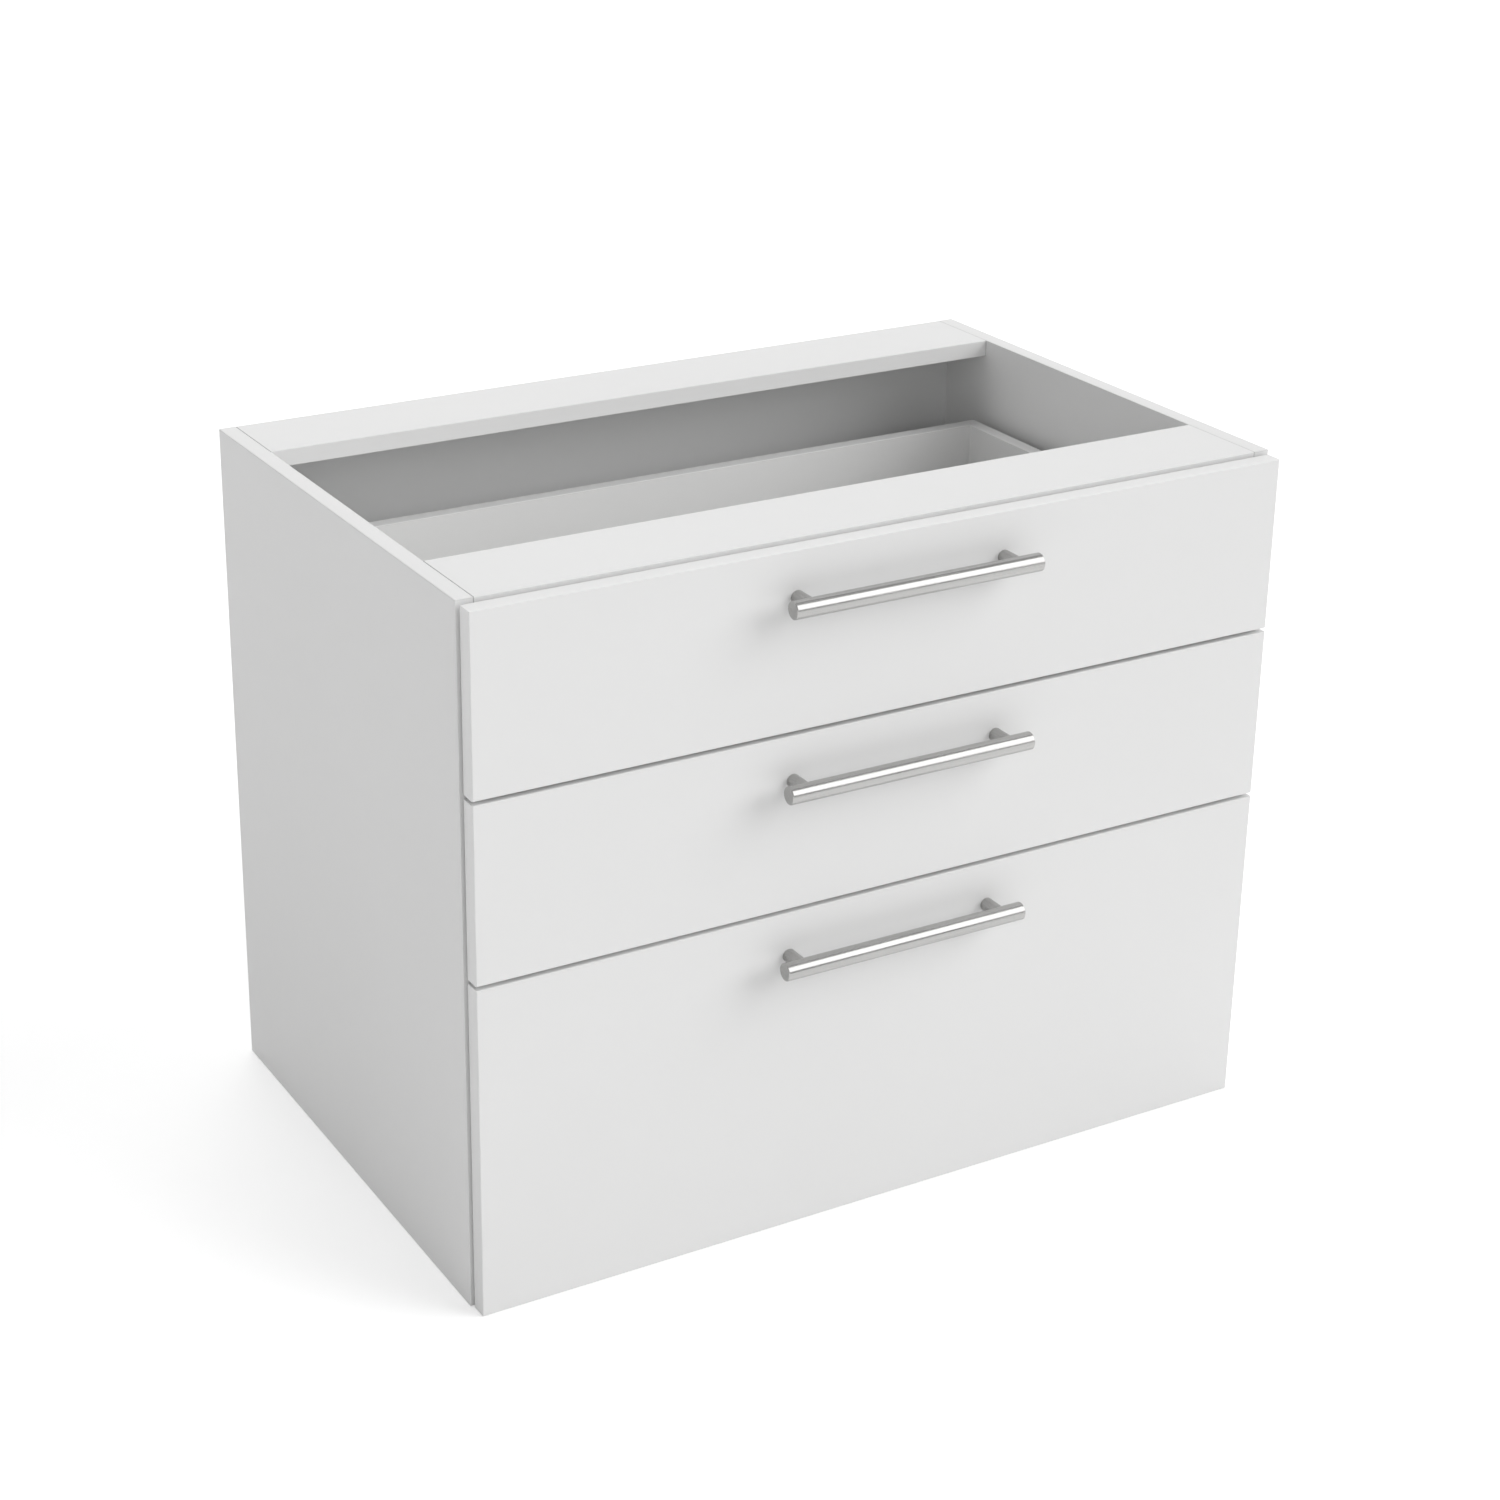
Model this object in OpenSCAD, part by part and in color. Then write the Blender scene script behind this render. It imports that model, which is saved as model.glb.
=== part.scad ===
// Kitchen drawer base cabinet with three full-overlay drawers on telescopic slides.
// Millimetres. Origin at the middle of the footprint, fronts and handles included,
// on the floor plane: +X to the right, +Y towards the wall, +Z up.

/* [Carcass] */
// Width over the two side panels
body_w = 900; // [600:10:1200]
// Depth of the side panels, without the drawer fronts
body_d = 560; // [530:5:650]
// Height of the side panels
body_h = 720; // [680:5:900]
// Thickness of the side, bottom and rail boards
board_t = 18; // [16:0.5:22]
// Radius of the eased edges of carcass and box boards
board_edge_r = 1; // [0.5:0.1:2]
// Depth of the top rail behind the fronts
front_rail_d = 104; // [70:1:130]
// Depth of the top rail at the wall
rear_rail_d = 95; // [75:1:130]
// Thickness of the back panel
back_t = 8; // [4:0.5:10]
// Free space behind the back panel
back_inset = 12; // [8:1:30]
// Depth of the grooves that hold the back panel
back_groove_d = 8; // [4:0.5:9]
// Inset of the corner dowels in the bottom panel
dowel_inset = 40; // [25:1:80]
// Inset of the dowels at the ends of a top rail
rail_dowel_inset = 20; // [12:1:24]
// Distance from a leg hole to the nearest outer faces
leg_inset = 60; // [50:1:120]
// Distance from a worktop screw hole to the inner face of the side panel
worktop_hole_inset = 60; // [40:1:120]

/* [Fronts] */
// Thickness of the drawer fronts
front_t = 18; // [16:0.5:22]
// Distance from the top of the side panels to the uppermost front
top_reveal = 4; // [1:0.5:8]
// Gap between two fronts
front_gap = 4; // [2:0.5:5]
// Distance from a front's end to the outer face of the side panel
side_reveal = 3; // [0:0.5:4]
// Height of the uppermost front
upper_front_h = 180; // [150:1:200]
// Height of the middle front
middle_front_h = 180; // [150:1:220]
// Radius of the eased edges around the face of a front
front_edge_r = 1; // [0.5:0.1:2]
// Thickness of the door bumpers between carcass and fronts
bumper_t = 3.5; // [1:0.1:4]
// Diameter of the door bumpers
bumper_d = 8; // [5:0.5:12]
// Distance from a bumper to the top or bottom edge of its front
bumper_inset = 22; // [10:1:50]

/* [Handles] */
// Diameter of the handle bar
bar_d = 18; // [12:0.5:20]
// Length of the handle bar
bar_l = 274; // [250:2:500]
// Distance between the two handle posts
post_span = 230; // [96:2:236]
// Diameter of the handle posts
post_d = 14; // [8:0.5:16]
// Distance from the face of the front to the middle of the bar
bar_stand = 28; // [22:0.5:40]
// Distance from the top edge of a front to the middle of the bar
handle_drop = 46; // [30:1:60]
// Bevel at the ends of the bar
bar_bevel = 0.8; // [0.3:0.1:2]
// Diameter of the spigot that joins a post to the bar
spigot_d = 6; // [4:0.5:8]
// Length of the spigot inside the bar
spigot_l = 8; // [4:0.5:10]

/* [Drawer boxes] */
// Length of the drawer boxes from front to back
box_l = 468; // [455:1:500]
// Thickness of the sides, back and inner front
box_board_t = 16; // [15:0.5:19]
// Height of the upper drawer box
upper_box_h = 81; // [72:1:110]
// Height of the middle drawer box
middle_box_h = 110; // [75:1:125]
// Height of the lower drawer box
lower_box_h = 220; // [90:1:250]
// Clearance under each drawer box
box_lift = 12; // [8:1:16]
// Thickness of the drawer bottoms
box_base_t = 8; // [4:0.5:10]
// Height of a drawer bottom above the lower edge of its box
base_lift = 10; // [8:0.5:14]
// Depth of the grooves that hold a drawer bottom
base_groove_d = 6; // [4:0.5:8]
// Length of the tongues that lock the box ends into the sides
tongue_l = 6; // [4:0.5:8]
// Thickness of those tongues
tongue_t = 8; // [6:0.5:10]

/* [Slides] */
// Length of a closed slide, which is also its travel
slide_l = 450; // [400:10:450]
// Height of the outer slide member
slide_h = 45; // [42:0.5:48]
// Thickness of a whole slide
slide_t = 12.7; // [12.2:0.1:14]
// Thickness of the sheet steel of the slides
sheet_t = 1.2; // [1:0.1:1.3]
// Diameter of the bearing balls
ball_d = 3.2; // [3:0.1:3.4]
// Play of a ball in its races
ball_play = 0.3; // [0.15:0.05:0.3]
// Distance from the front edge of the carcass to the slides
slide_setback = 3; // [1:0.5:8]
// Height of the slides' middle above the lower edge of a drawer box
slide_rise = 34; // [32:0.5:38]
// Distance between two balls of a row
ball_pitch = 20; // [12:1:22]

/* [Fittings] */
// Diameter of the wooden dowels
dowel_d = 8; // [6:0.5:9]
// Length of the wooden dowels
dowel_l = 35; // [30:1:40]
// Depth of the dowels in the side panels
dowel_in_side = 12; // [8:0.5:14]
// Thread diameter of the wood screws
screw_d = 4; // [3:0.1:4.5]
// Head diameter of the flat-head screws
flat_head_d = 7.2; // [6.6:0.1:8]
// Head diameter of the pan-head screws
pan_head_d = 8; // [7:0.1:9]
// Head height of the pan-head screws
pan_head_h = 2.2; // [1.6:0.1:2.6]
// Length of the screws that hold the slides
slide_screw_l = 13; // [10:0.5:14]
// Length of the screws that hold the fronts to the boxes
front_screw_l = 28; // [24:0.5:30]
// Thread diameter of the handle screws
handle_screw_d = 4; // [3:0.5:5]
// Length of the handle screws in the posts
handle_screw_grip = 10; // [7:0.5:11]
// Diameter of the leg holes under the bottom panel
leg_hole_d = 10; // [6:0.5:12]
// Depth of the leg holes
leg_hole_depth = 12; // [8:0.5:13]
// Diameter of the worktop screw holes under the rails
worktop_hole_d = 4; // [3:0.5:5]
// Depth of the worktop screw holes
worktop_hole_depth = 14; // [8:0.5:15]
// Radial clearance of pins and screws in their holes
fit_gap = 0.05; // [0.02:0.01:0.1]
// Clearance of a board in its groove
groove_gap = 0.2; // [0.1:0.05:0.4]

/* [Hidden] */
$fn = 48;

// Sides of the cabinet and levels of the drawers, from the floor up
LEFT = -1;
RIGHT = 1;
LOWER = 0;
MIDDLE = 1;
UPPER = 2;

// How far a cut runs past the face that it opens
over = 1;

// Screw heads and points, as shares of the diameter or height that they belong to
recess_share = 0.55;
slot_share = 0.2;
rim_share = 0.35;
point_share = 0.25;
flat_recess_depth = 1;
dowel_bevel = 1;

// Colours
board_white = [0.93, 0.93, 0.92];
front_white = [0.95, 0.95, 0.95];
box_grey = [0.87, 0.87, 0.86];
steel = [0.72, 0.72, 0.71];
zinc = [0.66, 0.67, 0.68];
beech = [0.80, 0.66, 0.47];
clear_grey = [0.80, 0.81, 0.82];

// Places along the depth, from the handles to the wall
handle_reach = bar_stand + bar_d / 2;
total_d = body_d + bumper_t + front_t + handle_reach;
wall_y = total_d / 2;
edge_y = wall_y - body_d;
front_back_y = edge_y - bumper_t;
front_face_y = front_back_y - front_t;
bar_y = front_face_y - bar_stand;
back_panel_y = wall_y - back_inset - back_t;
rear_rail_y = wall_y - rear_rail_d;

// Places across the width and up the height
inner_w = body_w - 2 * board_t;
rail_z = body_h - board_t;
back_panel_w = inner_w + 2 * back_groove_d - groove_gap;
back_panel_z = board_t - back_groove_d + groove_gap;
back_panel_h = rail_z - board_t + 2 * (back_groove_d - groove_gap);
front_w = body_w - 2 * side_reveal;
lower_front_h = body_h - top_reveal - upper_front_h - middle_front_h - 2 * front_gap;
front_h = [lower_front_h, middle_front_h, upper_front_h];
front_z = [0, lower_front_h + front_gap, lower_front_h + middle_front_h + 2 * front_gap];

// Drawer boxes
box_h = [lower_box_h, middle_box_h, upper_box_h];
box_z = [board_t + box_lift, front_z[MIDDLE] + box_lift, front_z[UPPER] + box_lift];
box_w = inner_w - 2 * slide_t;
box_inner_w = box_w - 2 * box_board_t;
box_back_y = front_back_y + box_l - box_board_t;

// Slide cross-section: u runs from the cabinet side to the drawer, v up from the middle
race_r = ball_d / 2 + ball_play;
race_u = race_r + sheet_t;
race_v = slide_h / 2 - race_r - sheet_t;
race_turn = 35;
inner_race_u = race_u + (2 * race_r + sheet_t) * cos(race_turn);
inner_race_v = race_v - (2 * race_r + sheet_t) * sin(race_turn);
outer_lip = 14;
carrier_lip = 20;
carrier_foot = 112;
inner_lip_start = 50;
inner_lip_end = 150;
slide_y = edge_y + slide_setback;
carrier_setback = 4;
balls_per_row = 5;
row_l = (balls_per_row - 1) * ball_pitch;
row_margin = 8;
outer_row_y = slide_l / 2 + row_margin;
inner_row_y = slide_l / 2 - row_margin - row_l;

// Screw places along a slide, from its front end
outer_hole_first = 34;
outer_hole_last = 32;
inner_hole_end = 58;
outer_holes = [outer_hole_first, (slide_l + outer_hole_first - outer_hole_last) / 2, slide_l - outer_hole_last];
inner_holes = [inner_hole_end, slide_l / 2 + inner_hole_end / 2, slide_l - inner_hole_end];
access_d = flat_head_d + 2;

// Screws between a drawer box and its front
front_screw_inset = 60;
front_screw_margin = 13;

// Dowels in one side panel, as [y, z]
bottom_dowels = 4;
dowel_step = (back_panel_y - edge_y - 2 * dowel_inset) / (bottom_dowels - 1);
board_mid_z = board_t / 2;
dowel_spots = concat(
    [for (k = [0 : bottom_dowels - 1]) [edge_y + dowel_inset + k * dowel_step, board_mid_z]],
    [for (y = [rail_dowel_inset, front_rail_d - rail_dowel_inset]) [edge_y + y, rail_z + board_mid_z]],
    [for (y = [rear_rail_y + rail_dowel_inset, back_panel_y - dowel_d]) [y, rail_z + board_mid_z]]
);

function slide_z(level) = box_z[level] + slide_rise;
function handle_z(level) = front_z[level] + front_h[level] - handle_drop;
function box_screw_heights(level) = [
    box_z[level] + base_lift + box_base_t + front_screw_margin,
    box_z[level] + box_h[level] - front_screw_margin
];

// Extrudes a profile drawn in x and z along +Y
module along_y(length) {
    translate([0, length, 0])
        rotate([90, 0, 0])
            linear_extrude(length)
                children();
}

// Extrudes a profile drawn in y and z along +X
module along_x(length) {
    rotate([90, 0, 90])
        linear_extrude(length)
            children();
}

// Keeps a profile and adds its mirror image below
module both_halves() {
    children();
    mirror([0, 1]) children();
}

// A board given by its lowest corner and its size
module board(corner, size) {
    translate(corner) cube(size);
}

// Section of a board on both sides of u = 0, square at the back and eased at v = 0
module eased_section(width, depth, r) {
    square_w = width / 2 - r;
    translate([-square_w, 0]) square([2 * square_w, depth]);
    translate([-width / 2, r]) square([width, depth - r]);
    for (u = [-square_w, square_w]) translate([u, r]) circle(r = r);
}

// Section of a board with all four corners eased, from its lowest corner
module eased_bar_section(width, height, r) {
    translate([r, 0]) square([width - 2 * r, height]);
    translate([0, r]) square([width, height - 2 * r]);
    for (u = [r, width - r], v = [r, height - r]) translate([u, v]) circle(r = r);
}

// A round hole or pin along +X or +Y
module rod_x(d, length) {
    rotate([0, 90, 0]) cylinder(h = length, d = d);
}

module rod_y(d, length) {
    rotate([-90, 0, 0]) cylinder(h = length, d = d);
}

// A pin along +X with bevelled ends
module bevelled_pin(d, length, bevel) {
    rotate([0, 90, 0]) {
        translate([0, 0, bevel]) cylinder(h = length - 2 * bevel, d = d);
        cylinder(h = bevel, d1 = d - 2 * bevel, d2 = d);
        translate([0, 0, length - bevel]) cylinder(h = bevel, d1 = d, d2 = d - 2 * bevel);
    }
}

// Holes for the dowels of one side, along X from the inner face of the side panel
module dowel_holes(side, depth, towards) {
    start = side * inner_w / 2 + (towards > 0 ? -over : -depth);
    for (spot = dowel_spots)
        translate([start, spot[0], spot[1]])
            rod_x(dowel_d + 2 * fit_gap, depth + over);
}

// Shank and point of a wood screw along +Z
module screw_shank(length) {
    point = screw_d;
    cylinder(h = length - point, d = screw_d);
    translate([0, 0, length - point]) cylinder(h = point, d1 = screw_d, d2 = screw_d * point_share);
}

// Cross recess of a screw head, cut up from z = 0
module cross_recess(head_d, depth) {
    width = head_d * recess_share;
    slot = width * slot_share;
    for (turn = [0, 90])
        rotate([0, 0, turn])
            translate([-width / 2, -slot / 2, -over])
                cube([width, slot, depth + over]);
}

// Flat-head screw along +Z, its head flush with z = 0
module flat_screw(length) {
    head_h = (flat_head_d - screw_d) / 2;
    difference() {
        union() {
            cylinder(h = head_h, d1 = flat_head_d, d2 = screw_d);
            screw_shank(length);
        }
        cross_recess(flat_head_d, flat_recess_depth);
    }
}

// The room that a flat-head screw takes
module flat_screw_hole(length) {
    head_h = (flat_head_d - screw_d) / 2;
    translate([0, 0, -over]) cylinder(h = over, d = flat_head_d + 2 * fit_gap);
    cylinder(h = head_h, d1 = flat_head_d + 2 * fit_gap, d2 = screw_d + 2 * fit_gap);
    cylinder(h = length + fit_gap, d = screw_d + 2 * fit_gap);
}

// Pan head with its seat at z = 0 and its recess below
module pan_head() {
    rim = pan_head_h * rim_share;
    difference() {
        union() {
            translate([0, 0, -rim]) cylinder(h = rim, d = pan_head_d);
            translate([0, 0, -pan_head_h])
                cylinder(h = pan_head_h - rim, d1 = pan_head_d - 2 * rim, d2 = pan_head_d);
        }
        translate([0, 0, -pan_head_h]) cross_recess(pan_head_d, pan_head_h / 2);
    }
}

// Pan-head wood screw along +Z, the seat of its head at z = 0
module pan_screw(length) {
    pan_head();
    screw_shank(length);
}

// A strip of sheet bent round the origin between two angles
module bent_strip(from, to) {
    reach = 2 * (race_r + sheet_t);
    steps = 4;
    intersection() {
        difference() {
            circle(r = race_r + sheet_t);
            circle(r = race_r);
        }
        polygon(concat(
            [[0, 0]],
            [for (k = [0 : steps]) let (a = from + k * (to - from) / steps) [reach * cos(a), reach * sin(a)]]
        ));
    }
}

// Outer member: web on the cabinet side, lips curled over the outer balls
module outer_profile() {
    translate([0, -race_v]) square([sheet_t, 2 * race_v]);
    both_halves() translate([race_u, race_v]) bent_strip(outer_lip, 180);
}

// Carrier: cradles the outer balls and curls over the inner balls
module carrier_profile() {
    web_half = race_v - race_r - sheet_t / 2;
    translate([race_u - sheet_t, -web_half]) square([sheet_t, 2 * web_half]);
    both_halves() {
        translate([race_u, race_v]) bent_strip(-carrier_foot, -race_turn);
        translate([inner_race_u, inner_race_v]) bent_strip(-carrier_lip, 180 - race_turn);
    }
}

// Inner member: web on the drawer, flanges that cradle the inner balls
module inner_profile() {
    half = inner_race_v - race_r;
    translate([slide_t - sheet_t, -half]) square([sheet_t, 2 * half]);
    both_halves() {
        translate([inner_race_u, half - sheet_t]) square([slide_t - inner_race_u, sheet_t]);
        translate([inner_race_u, inner_race_v]) bent_strip(-inner_lip_end, -inner_lip_start);
    }
}

// Moves slide coordinates to one side of one drawer level
module at_slide(level, side) {
    translate([side * inner_w / 2, slide_y, slide_z(level)])
        mirror([side > 0 ? 1 : 0, 0, 0])
            children();
}

module outer_screw_holes() {
    for (y = outer_holes)
        translate([sheet_t, y, 0])
            rotate([0, -90, 0])
                flat_screw_hole(slide_screw_l);
}

module slide_outer(level, side) {
    color(zinc)
        at_slide(level, side)
            difference() {
                along_y(slide_l) outer_profile();
                outer_screw_holes();
            }
}

module slide_carrier(level, side) {
    color(zinc)
        at_slide(level, side)
            difference() {
                translate([0, carrier_setback, 0])
                    along_y(slide_l - 2 * carrier_setback)
                        carrier_profile();
                for (y = outer_holes)
                    translate([0, y, 0]) rod_x(access_d, race_u + over);
            }
}

module slide_inner(level, side) {
    color(zinc)
        at_slide(level, side)
            difference() {
                along_y(slide_l) inner_profile();
                for (y = inner_holes)
                    translate([slide_t - sheet_t - over, y, 0])
                        rod_x(screw_d + 2 * fit_gap, sheet_t + 2 * over);
            }
}

// Rows of balls above and below the middle of a slide
module ball_rows(u, v, y) {
    for (k = [0 : balls_per_row - 1], side_v = [v, -v])
        translate([u, y + k * ball_pitch, side_v])
            sphere(d = ball_d);
}

module slide_balls(level) {
    color(steel)
        for (side = [LEFT, RIGHT])
            at_slide(level, side) {
                ball_rows(race_u, race_v, outer_row_y);
                ball_rows(inner_race_u, inner_race_v, inner_row_y);
            }
}

// Groove that takes the back panel
module back_groove() {
    board(
        [-back_panel_w / 2 - groove_gap / 2, back_panel_y - groove_gap / 2, back_panel_z - groove_gap],
        [back_panel_w + groove_gap, back_t + groove_gap, back_panel_h + 2 * groove_gap]
    );
}

module side_panel(side) {
    color(board_white)
        difference() {
            translate([side * (inner_w + board_t) / 2, edge_y, 0])
                intersection() {
                    linear_extrude(body_h) eased_section(board_t, body_d, board_edge_r);
                    translate([0, 0, body_h])
                        along_y(body_d)
                            mirror([0, 1])
                                eased_section(board_t, body_h, board_edge_r);
                }
            back_groove();
            dowel_holes(side, dowel_in_side + fit_gap, side);
            for (level = [LOWER, MIDDLE, UPPER]) at_slide(level, side) outer_screw_holes();
        }
}

module bottom_panel() {
    color(board_white)
        difference() {
            translate([-inner_w / 2, edge_y, board_mid_z])
                along_x(inner_w)
                    rotate(-90)
                        eased_section(board_t, body_d, board_edge_r);
            back_groove();
            for (side = [LEFT, RIGHT]) {
                dowel_holes(side, dowel_l - dowel_in_side + fit_gap, -side);
                for (y = [edge_y + leg_inset, wall_y - leg_inset])
                    translate([side * (body_w / 2 - leg_inset), y, -over])
                        cylinder(h = leg_hole_depth + over, d = leg_hole_d);
            }
        }
}

module top_rail(y, depth) {
    color(board_white)
        difference() {
            translate([-inner_w / 2, y, rail_z])
                along_x(inner_w)
                    eased_bar_section(depth, board_t, board_edge_r);
            back_groove();
            for (side = [LEFT, RIGHT]) {
                dowel_holes(side, dowel_l - dowel_in_side + fit_gap, -side);
                translate([side * (inner_w / 2 - worktop_hole_inset), y + depth / 2, rail_z - over])
                    cylinder(h = worktop_hole_depth + over, d = worktop_hole_d);
            }
        }
}

module back_panel() {
    color(board_white)
        board([-back_panel_w / 2, back_panel_y, back_panel_z], [back_panel_w, back_t, back_panel_h]);
}

module carcass_dowels() {
    color(beech)
        for (side = [LEFT, RIGHT], spot = dowel_spots)
            translate([side * (inner_w / 2 + dowel_in_side), spot[0], spot[1]])
                mirror([side > 0 ? 1 : 0, 0, 0])
                    bevelled_pin(dowel_d, dowel_l, dowel_bevel);
}

module slide_screws() {
    color(steel)
        for (level = [LOWER, MIDDLE, UPPER], side = [LEFT, RIGHT])
            at_slide(level, side)
                for (y = outer_holes)
                    translate([sheet_t, y, 0])
                        rotate([0, -90, 0])
                            flat_screw(slide_screw_l);
}

module front_bumpers() {
    color(clear_grey)
        for (level = [LOWER, MIDDLE, UPPER], side = [LEFT, RIGHT])
            for (z = [front_z[level] + bumper_inset, front_z[level] + front_h[level] - bumper_inset])
                translate([side * (inner_w + board_t) / 2, front_back_y, z])
                    rod_y(bumper_d, bumper_t);
}

// Screws that hold a front, as [x, z]
function front_screw_spots(level) = [
    for (side = [LEFT, RIGHT], z = box_screw_heights(level)) [side * (box_inner_w / 2 - front_screw_inset), z]
];

module drawer_front(level) {
    height = front_h[level];
    color(front_white)
        difference() {
            translate([0, front_face_y, front_z[level]])
                intersection() {
                    linear_extrude(height) eased_section(front_w, front_t, front_edge_r);
                    translate([-front_w / 2, 0, height / 2])
                        along_x(front_w)
                            rotate(-90)
                                mirror([1, 0])
                                    eased_section(height, front_t, front_edge_r);
                }
            for (side = [LEFT, RIGHT])
                translate([side * post_span / 2, front_face_y, handle_z(level)]) {
                    translate([0, -over, 0]) rod_y(handle_screw_d + 2 * fit_gap, front_t + 2 * over);
                    translate([0, front_t - pan_head_h, 0])
                        rod_y(pan_head_d + 2 * fit_gap, pan_head_h + over);
                }
            for (spot = front_screw_spots(level))
                translate([spot[0], front_back_y + over, spot[1]])
                    mirror([0, 1, 0])
                        rod_y(screw_d + 2 * fit_gap, front_screw_l - box_board_t + over + fit_gap);
        }
}

module handle_bar(level) {
    color(steel)
        difference() {
            translate([-bar_l / 2, bar_y, handle_z(level)])
                bevelled_pin(bar_d, bar_l, bar_bevel);
            for (side = [LEFT, RIGHT])
                translate([side * post_span / 2, bar_y + bar_d / 2 - spigot_l, handle_z(level)])
                    rod_y(spigot_d + 2 * fit_gap, spigot_l + over);
        }
}

module handle_posts(level) {
    color(steel)
        for (side = [LEFT, RIGHT])
            translate([side * post_span / 2, 0, handle_z(level)])
                difference() {
                    union() {
                        difference() {
                            translate([0, bar_y, 0]) rod_y(post_d, bar_stand);
                            translate([-post_d, bar_y, 0]) rod_x(bar_d + 2 * fit_gap, 2 * post_d);
                        }
                        translate([0, bar_y + bar_d / 2 - spigot_l + fit_gap, 0]) rod_y(spigot_d, spigot_l + over);
                    }
                    translate([0, front_face_y - handle_screw_grip - fit_gap, 0])
                        rod_y(handle_screw_d + 2 * fit_gap, handle_screw_grip + over);
                }
}

module handle_screws(level) {
    seat_y = front_back_y - pan_head_h;
    color(steel)
        for (side = [LEFT, RIGHT])
            translate([side * post_span / 2, seat_y, handle_z(level)])
                rotate([90, 0, 0]) {
                    pan_head();
                    cylinder(h = front_t - pan_head_h + handle_screw_grip, d = handle_screw_d);
                }
}

// Drawer bottom, enlarged by a gap where it is cut out of its neighbours
module base_board(level, gap) {
    width = box_inner_w + 2 * (base_groove_d - groove_gap);
    length = box_l - 2 * box_board_t + 2 * (base_groove_d - groove_gap);
    board(
        [-width / 2 - gap, front_back_y + (box_l - length) / 2 - gap, box_z[level] + base_lift - gap / 2],
        [width + 2 * gap, length + 2 * gap, box_base_t + gap]
    );
}

// Front or back board of a box, with a tongue at each end
module box_end_board(level, y, gap) {
    board([-box_inner_w / 2, y, box_z[level]], [box_inner_w, box_board_t, box_h[level]]);
    board(
        [-box_inner_w / 2 - tongue_l, y + (box_board_t - tongue_t) / 2 - gap, box_z[level] - gap],
        [box_inner_w + 2 * tongue_l, tongue_t + 2 * gap, box_h[level] + 2 * gap]
    );
}

module box_side(level, side) {
    color(box_grey)
        difference() {
            translate([side * (box_w - box_board_t) / 2, front_back_y, box_z[level] + box_h[level]])
                along_y(box_l)
                    mirror([0, 1])
                        eased_section(box_board_t, box_h[level], board_edge_r);
            base_board(level, groove_gap);
            for (y = [front_back_y, box_back_y])
                translate([side * groove_gap, 0, 0]) box_end_board(level, y, groove_gap / 2);
            at_slide(level, side)
                for (y = inner_holes)
                    translate([slide_t - over, y, 0])
                        rod_x(screw_d + 2 * fit_gap, slide_screw_l - sheet_t + over + fit_gap);
        }
}

module box_end(level, y) {
    color(box_grey)
        difference() {
            intersection() {
                box_end_board(level, y, 0);
                translate([-box_w / 2, y + box_board_t / 2, box_z[level] + box_h[level]])
                    along_x(box_w)
                        mirror([0, 1])
                            eased_section(box_board_t, box_h[level], board_edge_r);
            }
            base_board(level, groove_gap);
            if (y < box_back_y)
                for (spot = front_screw_spots(level))
                    translate([spot[0], y - over, spot[1]])
                        rod_y(screw_d + 2 * fit_gap, box_board_t + 2 * over);
        }
}

module box_base(level) {
    color(box_grey) base_board(level, 0);
}

// Screws that hold the slides and the front to a box
module box_screws(level) {
    color(steel) {
        for (side = [LEFT, RIGHT])
            at_slide(level, side)
                for (y = inner_holes)
                    translate([slide_t - sheet_t, y, 0])
                        rotate([0, 90, 0])
                            pan_screw(slide_screw_l);
        for (spot = front_screw_spots(level))
            translate([spot[0], front_back_y + box_board_t, spot[1]])
                rotate([90, 0, 0])
                    pan_screw(front_screw_l);
    }
}

side_panel(LEFT);  // left_side_panel
side_panel(RIGHT);  // right_side_panel
bottom_panel();
top_rail(edge_y, front_rail_d);  // front_top_rail
top_rail(rear_rail_y, rear_rail_d);  // rear_top_rail
back_panel();
carcass_dowels();
slide_screws();
front_bumpers();
slide_outer(UPPER, LEFT);  // upper_slide_outer_left
slide_outer(UPPER, RIGHT);  // upper_slide_outer_right
slide_outer(MIDDLE, LEFT);  // middle_slide_outer_left
slide_outer(MIDDLE, RIGHT);  // middle_slide_outer_right
slide_outer(LOWER, LEFT);  // lower_slide_outer_left
slide_outer(LOWER, RIGHT);  // lower_slide_outer_right
slide_carrier(UPPER, LEFT);  // upper_slide_carrier_left
slide_carrier(UPPER, RIGHT);  // upper_slide_carrier_right
slide_balls(UPPER);  // upper_slide_balls
slide_carrier(MIDDLE, LEFT);  // middle_slide_carrier_left
slide_carrier(MIDDLE, RIGHT);  // middle_slide_carrier_right
slide_balls(MIDDLE);  // middle_slide_balls
slide_carrier(LOWER, LEFT);  // lower_slide_carrier_left
slide_carrier(LOWER, RIGHT);  // lower_slide_carrier_right
slide_balls(LOWER);  // lower_slide_balls
slide_inner(UPPER, LEFT);  // upper_slide_inner_left
slide_inner(UPPER, RIGHT);  // upper_slide_inner_right
slide_inner(MIDDLE, LEFT);  // middle_slide_inner_left
slide_inner(MIDDLE, RIGHT);  // middle_slide_inner_right
slide_inner(LOWER, LEFT);  // lower_slide_inner_left
slide_inner(LOWER, RIGHT);  // lower_slide_inner_right
drawer_front(UPPER);  // upper_front
box_side(UPPER, LEFT);  // upper_box_left
box_side(UPPER, RIGHT);  // upper_box_right
box_end(UPPER, front_back_y);  // upper_box_front
box_end(UPPER, box_back_y);  // upper_box_back
box_base(UPPER);  // upper_box_base
box_screws(UPPER);  // upper_box_screws
handle_bar(UPPER);  // upper_handle_bar
handle_posts(UPPER);  // upper_handle_posts
handle_screws(UPPER);  // upper_handle_screws
drawer_front(MIDDLE);  // middle_front
box_side(MIDDLE, LEFT);  // middle_box_left
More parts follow.
